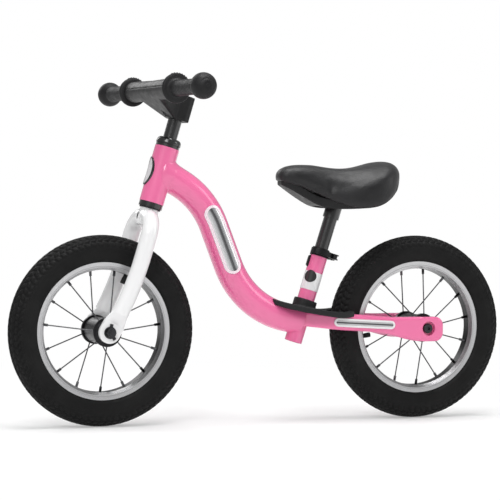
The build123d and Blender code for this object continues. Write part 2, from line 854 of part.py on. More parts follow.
def channel_outline(gap):
    """Outline of the space the rim takes, grown by a gap, open outwards above the flanges."""
    wall = rim_half_width - rim_wall - gap
    side = rim_half_width + gap
    top = rim_radius + gap
    floor = bead_seat_radius
    return [
        (top, side), (40, side), (40, -side), (top, -side), (top, -wall), (floor, -wall),
        (floor, wall), (top, wall),
    ]


def inner_tube(axle_x):
    """Inflated inner tube."""
    ring = Torus(section_radius - 1.0, tube_radius) - Torus(section_radius - 1.0, tube_radius - tube_wall)
    return on_axle(ring, axle_x)


def valve(axle_x, turn):
    """Valve stem with its cap, pointing at the hub."""
    outer = section_radius - 1.0 - tube_radius - weld_gap
    inner = outer - valve_length
    stem = rod(valve_radius - 0.6, inner, outer)
    stem += rod(valve_radius, inner, inner + 9)
    return on_axle(Rot(0, 90, 0) * stem, axle_x, turn)


def hub_shell(axle_x, turn):
    """Black hub barrel with two spoke flanges and bearing seats."""
    half = hub_half_length
    low = flange_offset - flange_thickness / 2
    high = flange_offset + flange_thickness / 2
    seat_radius = bearing_radius + press_gap
    seat_floor = half - bearing_width - 0.2
    outline = [
        (axle_radius + 3.0, seat_floor), (seat_radius, seat_floor), (seat_radius, half),
        (seat_radius + 4.0, half), (flange_radius - 4.0, high), (flange_radius - 0.8, high), (flange_radius, high - 0.8),
        (flange_radius, low + 0.8), (flange_radius - 0.8, low), (hub_barrel_radius, low),
    ]
    lower = [(r, -y) for r, y in reversed(outline)]
    shell = turned(outline + lower)
    for i in range(spoke_count):
        start, end = spoke_ends(i)
        shell -= along(start, end, spoke_radius + shaft_gap, 0, spoke_seat_depth + 5)
    return on_axle(shell, axle_x, turn)


def hub_bearing(axle_x, side):
    """Sealed ball bearing at one end of a hub."""
    outer = hub_half_length - 0.1
    inner = outer - bearing_width
    race = bearing_race
    ring = [
        (axle_radius + shaft_gap, inner), (axle_radius + shaft_gap, outer),
        (axle_radius + race, outer), (axle_radius + race, outer - 0.5),
        (bearing_radius - race, outer - 0.5), (bearing_radius - race, outer),
        (bearing_radius, outer), (bearing_radius, inner),
    ]
    return on_axle(turned([(r, -side * y) for r, y in ring]), axle_x)


def axle_spacer(axle_x, side):
    """Sleeve between a bearing and the frame or fork."""
    low = hub_half_length - 0.1 + moving_gap
    ends = sorted((side * low, side * (hub_half_gap - weld_gap)))
    return cross_pipe(spacer_radius, axle_radius + shaft_gap, *ends, x=axle_x, z=tyre_radius)


def safety_washer(side):
    """Washer with a tab that hooks into the fork end."""
    low = hub_half_gap + lobe_thickness + weld_gap
    ends = sorted((side * low, side * (low + washer_thickness)))
    plate = cross_rod(washer_radius, *ends)
    tab_x = washer_radius + washer_tab_length / 2 - 1
    middle = (ends[0] + ends[1]) / 2
    for turn in washer_tab_angles:
        tab = Pos(tab_x, middle, 0) * Box(washer_tab_length + 2, washer_thickness, washer_tab_width)
        plate += Rot(0, -turn, 0) * tab
    plate -= cross_rod(axle_radius + shaft_gap, ends[0] - 1, ends[1] + 1)
    return Pos(front_axle_x, 0, tyre_radius) * plate


def axle_nut(axle_x, low, side):
    """Hexagon nut with a round collar."""
    ends = sorted((side * low, side * (low + nut_height)))
    body = Pos(0, (ends[0] + ends[1]) / 2, 0) * Rot(90, 0, 0) * extrude(
        RegularPolygon(nut_radius, 6), nut_height / 2, both=True)
    collar = sorted((side * low, side * (low + 2.0)))
    body += cross_rod(nut_radius + 1.0, *collar)
    body -= cross_rod(axle_radius + shaft_gap, ends[0] - 1, ends[1] + 1)
    return Pos(axle_x, 0, tyre_radius) * body


def front_axle():
    """Threaded axle of the front wheel."""
    reach = hub_half_gap + lobe_thickness + washer_thickness + nut_height + 1.5
    return cross_rod(axle_radius, -reach, reach, front_axle_x, tyre_radius)


def rear_axle():
    """Long axle bolt with a socket head on the left."""
    floor = rear_seat_y + weld_gap
    bolt = cross_rod(axle_radius, -floor - nut_height - 1.0, floor + 0.1)
    head = cross_rod(axle_head_radius, floor, floor + axle_head_height)
    rims = head.edges().filter_by(lambda edge: edge.center().Y > floor + axle_head_height / 2)
    bolt += fillet(rims, 2.2)
    socket = Pos(0, floor + axle_head_height - 1.5, 0) * Rot(90, 0, 0) * extrude(
        RegularPolygon(socket_radius, 6), 1.6, both=True)
    bolt -= socket
    return Pos(rear_axle_x, 0, tyre_radius) * bolt


# ---------------------------------------------------------------- seat post, clamp and saddle
def seat_shim():
    """Sleeve between the post and the seat tube, with a rim and a key in the slot."""
    outer = seat_tube_bore - slip_gap / 2
    bore = post_radius + shaft_gap
    rim_top = seat_tube_top + shim_rim_height
    sleeve = pipe(outer, bore, seat_tube_top - shim_length, seat_tube_top + 0.1)
    sleeve += pipe(neck_radius + 0.6, bore, seat_tube_top + 0.05, rim_top)
    key_top = clamp_foot - 2.0
    key_foot = slot_foot + 0.6
    key = Pos((bore + key_reach) / 2 + 0.6, 0, (key_top + key_foot) / 2) * Box(
        key_reach - bore - 1.2, slot_width - 0.6, key_top - key_foot)
    corners = key.edges().filter_by(Axis.Y).filter_by(lambda edge: edge.center().X > seat_tube_radius)
    sleeve += fillet(corners, 2.4)
    return seat * sleeve


def ear_block(side):
    """One ear of the clamp."""
    x = 2.5 - clamp_ring_outer - ear_length / 2
    y = side * (ear_half_gap + ear_thickness / 2)
    return Pos(x, y, skewer_height) * Box(ear_length + 1, ear_thickness, clamp_height - 2.4)


def seat_clamp():
    """Split collar with two ears at the back."""
    collar = pipe(clamp_ring_outer, neck_radius + slip_gap, clamp_foot + 0.1, clamp_foot + clamp_height - 1.2)
    for _, side in sides:
        collar += ear_block(side)
    slit = Pos(-seat_tube_radius - 10, 0, skewer_height)
    collar -= slit * Box(24, 2 * ear_half_gap, clamp_height + 4)
    collar -= rod(neck_radius + slip_gap, clamp_foot - 5, clamp_foot + clamp_height + 5)
    collar -= cross_rod(skewer_radius + shaft_gap, -30, 30, -skewer_back, skewer_height)
    return seat * collar


def clamp_skewer():
    """Cross bolt of the clamp, with an eye for the cam's pin."""
    z = skewer_height
    bolt = cross_rod(skewer_radius, -16.0, cam_side - 2.0, -skewer_back, z)
    bolt += Pos(-skewer_back, cam_side, z) * Cylinder(eye_radius, eye_height)
    bolt -= rod(pin_radius + shaft_gap, z - 6, z + 6, -skewer_back, cam_side)
    return seat * bolt


def clamp_nut():
    """Round nut on the right end of the skewer."""
    low = ear_half_gap + ear_thickness + 0.05
    z = skewer_height
    nut = cross_pipe(clamp_nut_radius, skewer_radius + shaft_gap, -low - 7.0, -low, -skewer_back, z)
    for i in range(10):
        angle = 2 * math.pi * i / 10
        dx = clamp_nut_radius * math.cos(angle)
        dz = clamp_nut_radius * math.sin(angle)
        nut -= cross_rod(0.7, -low - 8, -low - 1.5, dx - skewer_back, z + dz)
    return seat * nut


def clamp_washer():
    """Plastic washer that the cam presses on."""
    low = ear_half_gap + ear_thickness + 0.05
    high = cam_side - cam_radius - moving_gap
    return seat * cross_pipe(5.0, skewer_radius + shaft_gap, low, high, -skewer_back, skewer_height)


def clamp_lever():
    """Quick-release lever: a cam with an arm that wraps the collar's left side."""
    z = skewer_height
    half = lever_height / 2
    start = math.radians(lever_start_angle)
    end = math.radians(lever_end_angle)
    inner = lever_inner_radius
    outer = inner + lever_thickness

    def spot(radius, angle):
        return Vector(radius * math.cos(angle), radius * math.sin(angle), 0)

    middle = (start + end) / 2
    edges = [
        ThreePointArc(spot(inner, start), spot(inner, middle), spot(inner, end)),
        Line(spot(inner, end), spot(outer, end)),
        ThreePointArc(spot(outer, end), spot(outer, middle), spot(outer, start)),
        ThreePointArc(spot(outer, start), spot((inner + outer) / 2, start - 0.09), spot(inner, start)),
    ]
    arm = Pos(0, 0, z) * extrude(make_face(Wire(edges)), half, both=True)
    lever = arm + Pos(-skewer_back, cam_side, z) * Cylinder(cam_radius, lever_height)
    lever -= Pos(-skewer_back, cam_side, z) * Cylinder(eye_radius + moving_gap, eye_height + 2 * moving_gap)
    slot_height = eye_height + 2 * moving_gap
    lever -= Pos(-skewer_back, cam_side - 5, z) * Box(2 * (skewer_radius + moving_gap), 10, slot_height)
    sweep_room = Pos(-skewer_back, cam_side, z) * Cylinder(12, slot_height)
    lever -= sweep_room & Pos(-skewer_back - 9, cam_side - 1, z) * Box(22, 24, 30)
    lever -= rod(pin_radius + shaft_gap, z - 10, z + 10, -skewer_back, cam_side)
    return seat * max(lever.solids(), key=lambda solid: solid.volume)


def clamp_pin():
    """Pin that the lever turns on."""
    z = skewer_height
    half = lever_height / 2
    return seat * rod(pin_radius, z - half, z + half, -skewer_back, cam_side)


def seat_post():
    """Seat post tube, open at the foot."""
    return seat * pipe(post_radius, post_radius - post_wall, post_foot, post_top)


def saddle_bracket():
    """Steel plate and socket on top of the post."""
    x = post_head_x
    plate = Pos(x, 0, bracket_z + bracket_thickness / 2) * extrude(
        RectangleRounded(bracket_length, bracket_width, 6.0), bracket_thickness / 2, both=True)
    socket_radius_outer = post_radius + shaft_gap + bracket_socket_wall
    socket = seat * rod(socket_radius_outer, post_top - bracket_socket_height - 8, post_top + 20)
    socket &= Pos(x, 0, bracket_z - 30) * Box(120, 120, 60)
    bracket = plate + socket
    bracket -= seat * rod(post_radius + shaft_gap, post_foot, post_top + 0.1)
    for bolt_x, bolt_y in bolt_places():
        bracket -= rod(saddle_bolt_radius + shaft_gap, bracket_z - 5, bracket_z + 10, bolt_x, bolt_y)
    return bracket


def bolt_places():
    """Places of the bolts through the saddle's bracket."""
    x = post_head_x
    return [(x + sx * saddle_bolt_spread_x, sy * saddle_bolt_spread_y) for sx in (-1, 1) for sy in (-1, 1)]


def saddle_bolt(x, y):
    """Bolt from under the bracket into the saddle's base."""
    head_top = bracket_z - weld_gap
    bolt = rod(saddle_bolt_radius, head_top - 1, bracket_z + bracket_thickness + saddle_bolt_reach, x, y)
    head = Pos(x, y, head_top - 2.0) * extrude(RegularPolygon(4.4, 6), 2.0, both=True)
    return bolt + head


def pad_width_at(x):
    """Half width of the cushion at x."""
    pairs = zip(pad_sections, pad_sections[1:])
    for (x0, w0, _, _), (x1, w1, _, _) in pairs:
        if x1 <= x <= x0:
            return w0 + (w1 - w0) * (x - x0) / (x1 - x0)
    return pad_sections[0][1]


def saddle_base(grow=0.0):
    """Moulded tray under the cushion, thicker towards the post."""
    plan = []
    for x, _, _, _ in pad_sections[1:-1]:
        plan.append((x, pad_width_at(x) - base_inset + grow))
    front_x = base_underside[0][0] + grow
    back_x = base_underside[-1][0] - grow
    left = [Vector(front_x, base_front_half_width + grow, 0)]
    left += [Vector(x, y, 0) for x, y in plan[1:]]
    left += [Vector(back_x, base_back_half_width + grow, 0)]
    right = [Vector(point.X, -point.Y, 0) for point in left]
    outline = make_face(Wire([
        Line(right[0], left[0]), Spline(*left), Line(left[-1], right[-1]), Spline(*reversed(right)),
    ]))
    under = [Vector(x, 0, z - grow) for x, z in base_underside]
    under[0] = Vector(front_x, 0, under[0].Z)
    under[-1] = Vector(back_x, 0, under[-1].Z)
    over = [point + Vector(0, 0, base_depth + 2 * grow) for point in under]
    profile = make_face(Wire([
        Spline(*under), Line(under[-1], over[-1]), Spline(*reversed(over)), Line(over[0], under[0]),
    ]))
    tray = Pos(0, 0, 300) * extrude(outline, 200.0)
    tray &= extrude(profile, 90.0, both=True)
    return tray


def finished_saddle_base():
    """Saddle base with room for the bracket, the socket and the bolts."""
    tray = saddle_base()
    x = post_head_x
    room = Pos(x, 0, bracket_z - 20 + bracket_thickness + weld_gap) * Box(
        bracket_length + 1, bracket_width + 1, 40)
    tray -= room
    bolt_top = bracket_z + bracket_thickness + saddle_bolt_reach + 0.1
    for bolt_x, bolt_y in bolt_places():
        tray -= rod(saddle_bolt_radius + shaft_gap, bracket_z, bolt_top, bolt_x, bolt_y)
    return max(tray.solids(), key=lambda solid: solid.volume)


def saddle_pad():
    """Cushion of the saddle, as a plain lofted solid over its base."""
    faces = []
    for x, half_width, top, bottom in pad_sections:
        height = top - bottom
        corner = pad_corner * min(height, 2 * half_width)
        plane = Plane(origin=(x, 0, (top + bottom) / 2), x_dir=(0, 1, 0), z_dir=(-1, 0, 0))
        faces.append(plane * RectangleRounded(2 * half_width, height, corner))
    cushion = loft(faces)
    cushion -= saddle_base(0.3)
    cushion -= saddle_base()
    cushion -= Pos(post_head_x, 0, bracket_z - 30) * Box(bracket_length + 30, bracket_width + 20, 60)
    return max(cushion.solids(), key=lambda solid: solid.volume)


# ---------------------------------------------------------------- stem and handlebar
def quill_tube():
    """Black tube that slides in the steerer and carries the stem."""
    return steer * pipe(quill_radius, quill_radius - quill_wall, quill_foot, quill_top)


def barrel():
    """Moulded barrel around the handlebar, slightly fuller at its ends."""
    half = barrel_half_length
    bore = bar_radius + shaft_gap
    outline = [
        (bore, -half), (barrel_end_radius, -half), (barrel_end_radius, -half + 8), (barrel_radius, 0),
        (barrel_end_radius, half - 8), (barrel_end_radius, half), (bore, half),
    ]
    return Pos(bar_forward, 0, bar_height) * Rot(90, 0, 0) * turned(outline)


def stem_web():
    """Web from the sleeve up to the barrel: side, plan and front views together."""
    low = bar_height - barrel_radius
    nose = bar_forward + 6
    side_view = make_face(Polyline(
        (-sleeve_radius, 0, sleeve_foot), (10, 0, sleeve_foot), (nose, 0, low + 1), (nose, 0, bar_height + 2),
        (bar_forward, 0, bar_height + 11), (4, 0, sleeve_top), (-sleeve_radius, 0, sleeve_top), close=True))
    half_plan = [
        (-sleeve_radius, 14), (-10, sleeve_radius), (6, sleeve_radius), (bar_forward, web_half_width),
        (bar_forward + 12, web_half_width),
    ]
    left = [(x, y, 0) for x, y in half_plan]
    right = [(x, -y, 0) for x, y in reversed(half_plan)]
    plan = make_face(Polyline(*left, *right, close=True))
    front = make_face(Polyline(
        (0, -sleeve_radius, sleeve_foot), (0, sleeve_radius, sleeve_foot), (0, web_half_width, low + 4),
        (0, web_half_width, bar_height + 12), (0, -web_half_width, bar_height + 12),
        (0, -web_half_width, low + 4), close=True))
    web = extrude(side_view, 80.0, both=True, dir=(0, 1, 0))
    web &= Pos(0, 0, sleeve_foot - 10) * extrude(plan, 80.0, dir=(0, 0, 1))
    web &= extrude(front, 120.0, both=True, dir=(1, 0, 0))
    return web


def above_seam():
    """Space above the seam through the bar."""
    height = 2 * barrel_end_radius
    middle = bar_height + (height + barrel_seam) / 2
    return Pos(bar_forward, 0, middle) * Box(2 * barrel_end_radius + 2, 2 * barrel_half_length + 2, height)


def stem_cap():
    """Upper half of the barrel."""
    return steer * (barrel() & above_seam())


def stem_body():
    """Sleeve, web and lower half of the barrel in one moulding."""
    body = rod(sleeve_radius, sleeve_foot, sleeve_top) + stem_web()
    body += barrel() - above_seam()
    end = barrel_half_length + 1
    cap_room = cross_rod(barrel_end_radius + barrel_seam, -end, end, bar_forward, bar_height)
    body -= cap_room & Pos(0, 0, -barrel_seam) * above_seam()
    body -= cross_rod(bar_radius + shaft_gap, -end, end, bar_forward, bar_height)
    body -= rod(quill_radius + shaft_gap, sleeve_foot - 5, quill_top + 0.1)
    body -= rod(expander_head_radius + 0.5, quill_top, sleeve_top + 5)
    screw_way = Pos(0, 0, set_screw_height) * Rot(0, 90, 0)
    body -= screw_way * rod(set_screw_radius + shaft_gap, quill_radius, set_screw_seat + 1)
    body -= screw_way * rod(set_screw_head_radius + shaft_gap, set_screw_seat, set_screw_seat + 20)
    return steer * max(body.solids(), key=lambda solid: solid.volume)


def stem_set_screw():
    """Screw at the sleeve's front foot that holds the stem on the quill."""
    screw = rod(set_screw_radius, quill_radius + shaft_gap, set_screw_seat + 0.2)
    screw += rod(set_screw_head_radius, set_screw_seat + shaft_gap, set_screw_seat + set_screw_head_height)
    screw -= rod(1.2, set_screw_seat + 0.8, set_screw_seat + 9)
    return steer * Pos(0, 0, set_screw_height) * Rot(0, 90, 0) * screw


def expander_bolt():
    """Long bolt that pulls the wedge up in the quill."""
    low = quill_top + weld_gap
    bolt = rod(expander_bolt_radius, quill_foot - wedge_height + 4, low + 0.1)
    bolt += rod(expander_head_radius, low, low + expander_head_height)
    bolt -= rod(2.2, low + 1.5, low + 8)
    return steer * bolt


def expander_wedge():
    """Slanted wedge nut under the quill."""
    wedge = rod(quill_radius, quill_foot - wedge_height, quill_foot - weld_gap)
    wedge -= rod(expander_bolt_radius + shaft_gap, quill_foot - wedge_height - 1, quill_foot + 1)
    return steer * wedge


def stem_plug():
    """Soft plug over the expander bolt."""
    low = quill_top + expander_head_height + 2 * weld_gap
    return steer * rod(expander_head_radius + 0.45, low, sleeve_top + 0.6)


def handlebar_tube():
    """Straight steel tube through the stem and the grips."""
    half = bar_half_width + ball_end_radius * 0.45
    return steer * cross_pipe(bar_radius, bar_radius - bar_wall, -half, half, bar_forward, bar_height)


def grip(side):
    """Rubber grip with an inner flange and a ball end."""
    inner = grip_flange_centre - grip_flange_thickness / 2
    outer = grip_flange_centre + grip_flange_thickness / 2
    bore = bar_radius + shaft_gap
    bar_end = bar_half_width + ball_end_radius * 0.45 + 0.3
    ball_start = bar_half_width - math.sqrt(ball_end_radius ** 2 - grip_radius ** 2)
    body = turned([
        (bore, inner), (grip_flange_radius - 3.0, inner), (grip_flange_radius, inner + 2.6),
        (grip_flange_radius, outer - 2.6), (grip_flange_radius - 3.0, outer),
        (grip_radius + 2.0, outer + 1.0), (grip_radius, outer + 3.5),
        (grip_waist_radius, (outer + ball_start) / 2),
        (grip_radius, ball_start + 1.5), (grip_radius, bar_half_width), (bore, bar_half_width),
    ])
    body += Pos(0, 0, bar_half_width) * Sphere(ball_end_radius)
    body -= rod(bore, inner - 1, bar_end)
    return steer * Pos(bar_forward, 0, bar_height) * Rot(-90 * side, 0, 0) * body


# ---------------------------------------------------------------- build
def both(make):
    """The left and right pieces of one kind."""
    return [make(side) for _, side in sides]


def build_frame():
    """Everything that is fixed to the frame."""
    save("head_tube", head_tube())
    save("main_tube", main_tube())
    save("seat_tube", seat_tube())
    for name, side in sides:
        save("chainstay_" + name, foot_screw_holes(chainstay(side), side))
    save("tube_bezels", *both(tube_bezel))
    save("tube_inlays", *both(tube_inlay))
    save("stay_bezels", *both(stay_bezel))
    save("stay_inlays", *both(stay_inlay))
    save("head_badge_rim", head_badge_rim())
    save("head_badge_face", head_badge_face())
    save("seat_tube_band", seat_band())
    save("seat_tube_roundel", seat_roundel())
    save("footrest", footrest())
    save("footrest_screws", *[foot_screw(x, side * y) for x, y in foot_screw_places for _, side in sides])
    top = Pos(0, 0, head_length)
    save("headset_cups", steer * top * headset_cup(False), steer * Rot(180, 0, 0) * headset_cup(True))
    ball_height = cup_floor + ball_radius + shaft_gap
    save("headset_bearings", steer * ball_ring(head_length + ball_height), steer * ball_ring(-ball_height))
    save("rear_axle", rear_axle(), *[axle_spacer(rear_axle_x, side) for _, side in sides])
    save("rear_axle_nut", axle_nut(rear_axle_x, rear_seat_y + weld_gap, -1))


def build_fork():
    """Steerer, blades and the front axle."""
    save("fork_steerer", fork_steerer())
    for name, side in sides:
        save("fork_blade_" + name, fork_blade(side))
    save("crown_race", crown_race())
    save("headset_dome", steer * Pos(0, 0, head_length) * headset_dome())
    save("front_axle", front_axle(), *[axle_spacer(front_axle_x, side) for _, side in sides])
    nut_low = hub_half_gap + lobe_thickness + washer_thickness + 2 * weld_gap
    save("front_axle_nuts", *[axle_nut(front_axle_x, nut_low, side) for _, side in sides])
    save("safety_washers", *both(safety_washer))


def build_wheel(name, axle_x, spoke_angle, valve_step):
    """One complete wheel."""
    turn = 180.0 - spoke_angle
    valve_turn = valve_step * 360.0 / spoke_count
    save(name + "_tyre", tyre(axle_x))
    save(name + "_inner_tube", inner_tube(axle_x), valve(axle_x, turn + valve_turn))
    save(name + "_rim", rim(axle_x, turn, valve_turn))
    save(name + "_spokes", *spokes(axle_x, turn), *nipples(axle_x, turn))
    save(name + "_hub", hub_shell(axle_x, turn))
    save(name + "_bearings", *[hub_bearing(axle_x, side) for _, side in sides])


def build_seat():
    """Clamp, post and saddle."""
    save("seat_shim", seat_shim())
    save("seat_clamp", seat_clamp())
    save("clamp_skewer", clamp_skewer())
    save("clamp_nut", clamp_nut())
    save("clamp_washer", clamp_washer())
    save("clamp_lever", clamp_lever())
    save("clamp_pin", clamp_pin())
    save("seat_post", seat_post(), saddle_bracket())
    save("saddle_bolts", *[saddle_bolt(x, y) for x, y in bolt_places()])
    save("saddle_base", finished_saddle_base())
    save("saddle_pad", saddle_pad())


def build_cockpit():
    """Stem, handlebar and grips."""
    save("quill_tube", quill_tube())
    save("stem_body", stem_body())
    save("stem_cap", stem_cap())
    save("stem_set_screw", stem_set_screw())
    save("expander_bolt", expander_bolt())
    save("expander_wedge", expander_wedge())
    save("stem_plug", stem_plug())
    save("handlebar_tube", handlebar_tube())
    for name, side in sides:
        save("grip_" + name, grip(side))


def main():
    """Writes every node."""
    os.makedirs("parts", exist_ok=True)
    build_frame()
    build_fork()
    build_wheel("front", front_axle_x, front_spoke_angle, front_valve_step)
    build_wheel("rear", rear_axle_x, rear_spoke_angle, rear_valve_step)
    build_seat()
    build_cockpit()


main()
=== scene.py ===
"""Visual model of a child's balance bike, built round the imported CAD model."""
import math

import bpy
from mathutils import Matrix, Vector


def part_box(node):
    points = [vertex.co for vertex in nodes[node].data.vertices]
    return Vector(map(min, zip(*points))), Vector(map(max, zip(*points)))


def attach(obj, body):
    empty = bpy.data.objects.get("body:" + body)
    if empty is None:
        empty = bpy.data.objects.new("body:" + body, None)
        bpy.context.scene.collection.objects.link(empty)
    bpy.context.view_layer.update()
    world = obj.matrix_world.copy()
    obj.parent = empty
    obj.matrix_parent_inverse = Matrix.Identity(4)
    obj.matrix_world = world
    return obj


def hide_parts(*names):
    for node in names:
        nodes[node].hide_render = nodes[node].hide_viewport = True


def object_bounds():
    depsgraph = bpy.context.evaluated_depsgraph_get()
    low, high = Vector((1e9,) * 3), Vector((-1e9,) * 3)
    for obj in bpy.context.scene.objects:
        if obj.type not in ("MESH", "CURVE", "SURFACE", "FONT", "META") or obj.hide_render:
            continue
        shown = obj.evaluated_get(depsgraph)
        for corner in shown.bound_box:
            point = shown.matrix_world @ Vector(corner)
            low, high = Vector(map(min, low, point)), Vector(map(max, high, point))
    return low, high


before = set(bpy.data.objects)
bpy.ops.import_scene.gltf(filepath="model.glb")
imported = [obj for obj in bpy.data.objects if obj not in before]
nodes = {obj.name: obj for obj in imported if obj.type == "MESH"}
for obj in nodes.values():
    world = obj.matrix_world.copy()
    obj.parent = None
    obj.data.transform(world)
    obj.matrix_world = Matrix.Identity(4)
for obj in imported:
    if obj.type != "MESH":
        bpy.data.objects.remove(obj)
cad_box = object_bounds()

# ---------------------------------------------------------------- sizes, in metres
tyre_radius = 0.150
casing_radius = 0.024
tread_half_width = 0.0300       # along the casing, from the middle
tread_pitches = 84
tread_depth = 0.0019
steps_per_pitch = 10
# rows of tread blocks: inner and outer edge, slant, shift and width of the grooves in pitches
tread_rows = (
    (0.0, 0.0052, 190.0, 0.0, 0.30),
    (0.0066, 0.0138, -120.0, 0.5, 0.34),
    (0.0150, 0.0212, 90.0, 0.15, 0.36),
    (0.0222, 0.0300, -70.0, 0.65, 0.42),
)
sidewall_ribs = ((0.0335, 0.0005), (0.0385, 0.0004), (0.0525, 0.0007))   # place and height
sidewall_rib_width = 0.0011
sidewall_reach = math.radians(139.0)    # how far the casing goes round, to the rim's edge
# one half of the tyre inside the rim and the casing: distance from the axle and from the middle
tyre_inside = [
    (0.1081, 0.01545), (0.1078, 0.0130), (0.1040, 0.0126), (0.1040, 0.0100),
    (0.1130, 0.0145), (0.1260, 0.0190), (0.1390, 0.0125),
]
tyre_crown_inside = 0.1440

grip_flange_inner = 0.1015
grip_flange_outer = 0.1105
grip_ball_middle = 0.2280
grip_ball_radius = 0.0200
grip_body_radius = 0.0129
grip_waist_radius = 0.0121
grip_rib_pitch = 0.0064
grip_rib_height = 0.00042

# sections of the cushion: x, half width, top, underside and height of the base above it
cushion_sections = (
    (-0.0200, 0.0080, 0.4000, 0.3900, 0.0), (-0.0235, 0.0150, 0.4060, 0.3855, 0.0),
    (-0.0320, 0.0215, 0.4120, 0.3805, 0.003), (-0.0520, 0.0280, 0.4156, 0.3745, 0.005),
    (-0.0820, 0.0335, 0.4114, 0.3620, 0.006), (-0.1150, 0.0450, 0.4060, 0.3455, 0.006),
    (-0.1460, 0.0575, 0.4056, 0.3375, 0.006), (-0.1760, 0.0622, 0.4130, 0.3395, 0.006),
    (-0.2010, 0.0580, 0.4225, 0.3520, 0.005), (-0.2180, 0.0460, 0.4225, 0.3665, 0.003),
    (-0.2290, 0.0290, 0.4150, 0.3800, 0.0), (-0.2335, 0.0120, 0.4040, 0.3930, 0.0),
)
cushion_shrink = 0.0015         # taken off before the foam swells
cushion_cap = 0.0040            # furthest that a point may move
cushion_voxel = 0.004
cushion_pressure = 4.0
cushion_steps = 20

# the joint of the main tube with the head tube, as in the CAD
head_lean = math.radians(16.2)
head_foot = Vector((0.1896, 0.0, 0.3505))
head_radius = 0.0196
main_radius = 0.0232
main_slope = math.radians(30.8)
main_start = Vector((0.1663, 0.0, 0.3956))
weld_turn = math.radians(104)   # how far the weld goes round the head tube each way
weld_spread = 0.0035
weld_points = 96

# ---------------------------------------------------------------- colours, linear
pink = (0.838, 0.150, 0.352)
white = (0.88, 0.88, 0.885)
pale_pink = (0.90, 0.76, 0.82)
# grey of the painted reflection bands on the tube inlays
painted_band_grey = (0.42, 0.43, 0.44)
near_black = (0.0040, 0.0040, 0.0045)
plastic_black = (0.0060, 0.0060, 0.0066)
slate_black = (0.0095, 0.0100, 0.0108)
rubber_black = (0.0052, 0.0052, 0.0053)
leather_black = (0.0055, 0.0055, 0.0062)
dark_metal = (0.055, 0.056, 0.060)
silver = (0.62, 0.62, 0.63)


# ---------------------------------------------------------------- materials
class Look:
    """A procedural material, and short calls for the nodes that it uses."""

    def __init__(self, name, roughness=0.5, metallic=0.0, coat=0.0, coat_roughness=0.03, gloss=0.5):
        self.material = bpy.data.materials.new(name)
        self.material.use_nodes = True
        self.tree = self.material.node_tree
        self.shader = self.tree.nodes["Principled BSDF"]
        self.shader.inputs["Roughness"].default_value = roughness
        self.shader.inputs["Metallic"].default_value = metallic
        self.shader.inputs["Coat Weight"].default_value = coat
        self.shader.inputs["Coat Roughness"].default_value = coat_roughness
        self.shader.inputs["Specular IOR Level"].default_value = gloss
        self.coordinates = self.tree.nodes.new("ShaderNodeTexCoord")
        self.place = self.coordinates.outputs["Object"]

    def node(self, kind, inputs=(), **settings):
        """New node with its settings, and its inputs linked or set by name."""
        made = self.tree.nodes.new(kind)
        for key, value in settings.items():
            setattr(made, key, value)
        for key, value in dict(inputs).items():
            if isinstance(value, bpy.types.NodeSocket):
                self.tree.links.new(value, made.inputs[key])
            else:
                made.inputs[key].default_value = value
        return made

    def noise(self, scale, detail=2.0, place=None):
        where = place if place is not None else self.place
        return self.node("ShaderNodeTexNoise", {"Vector": where, "Scale": scale, "Detail": detail}).outputs[0]

    def cells(self, scale, feature="F1"):
        made = self.node("ShaderNodeTexVoronoi", {"Vector": self.place, "Scale": scale}, feature=feature)
        return made.outputs["Distance"]

    def stretched(self, scale):
        """Coordinates that are stretched by a different amount along each axis."""
        return self.node("ShaderNodeVectorMath", {0: self.place, 1: scale}, operation="MULTIPLY").outputs[0]

    def away(self, centre, keep):
        """Distance from a point, counted only along the axes that keep leaves in."""
        moved = self.node("ShaderNodeVectorMath", {0: self.place, 1: centre}, operation="SUBTRACT").outputs[0]
        flat = self.node("ShaderNodeVectorMath", {0: moved, 1: keep}, operation="MULTIPLY").outputs[0]
        return self.node("ShaderNodeVectorMath", {0: flat}, operation="LENGTH").outputs["Value"]

    def along(self, way, start):
        """Distance along a direction from a point."""
        moved = self.node("ShaderNodeVectorMath", {0: self.place, 1: start}, operation="SUBTRACT").outputs[0]
        return self.node("ShaderNodeVectorMath", {0: moved, 1: way}, operation="DOT_PRODUCT").outputs["Value"]

    def maths(self, operation, a, b=0.0):
        return self.node("ShaderNodeMath", {0: a, 1: b}, operation=operation).outputs[0]

    def mapped(self, value, low, high, to_low=0.0, to_high=1.0):
        inputs = {"Value": value, "From Min": low, "From Max": high, "To Min": to_low, "To Max": to_high}
        return self.node("ShaderNodeMapRange", inputs).outputs["Result"]

    def mixed(self, factor, first, second):
        """Mix of two colours."""
        inputs = {"Factor": factor}
        made = self.node("ShaderNodeMix", inputs, data_type="RGBA")
        for index, value in ((6, first), (7, second)):
            if isinstance(value, bpy.types.NodeSocket):
                self.tree.links.new(value, made.inputs[index])
            else:
                made.inputs[index].default_value = (*value, 1.0)
        return made.outputs[2]

    def shades(self, colour, spread, factor):
        """A colour that goes a little darker and lighter with the factor."""
        darker = tuple(c * (1 - spread) for c in colour)
        lighter = tuple(min(1.0, c * (1 + spread)) for c in colour)
        return self.mixed(factor, darker, lighter)

    def colour(self, value):
        self.tree.links.new(value, self.shader.inputs["Base Color"])

    def roughness(self, value):
        self.tree.links.new(value, self.shader.inputs["Roughness"])

    def bumps(self, *heights):
        """Chain of (height, strength, distance) bumps."""
        normal = None
        for height, strength, distance in heights:
            inputs = {"Height": height, "Strength": strength, "Distance": distance}
            if normal is not None:
                inputs["Normal"] = normal
            normal = self.node("ShaderNodeBump", inputs).outputs["Normal"]
        self.tree.links.new(normal, self.shader.inputs["Normal"])


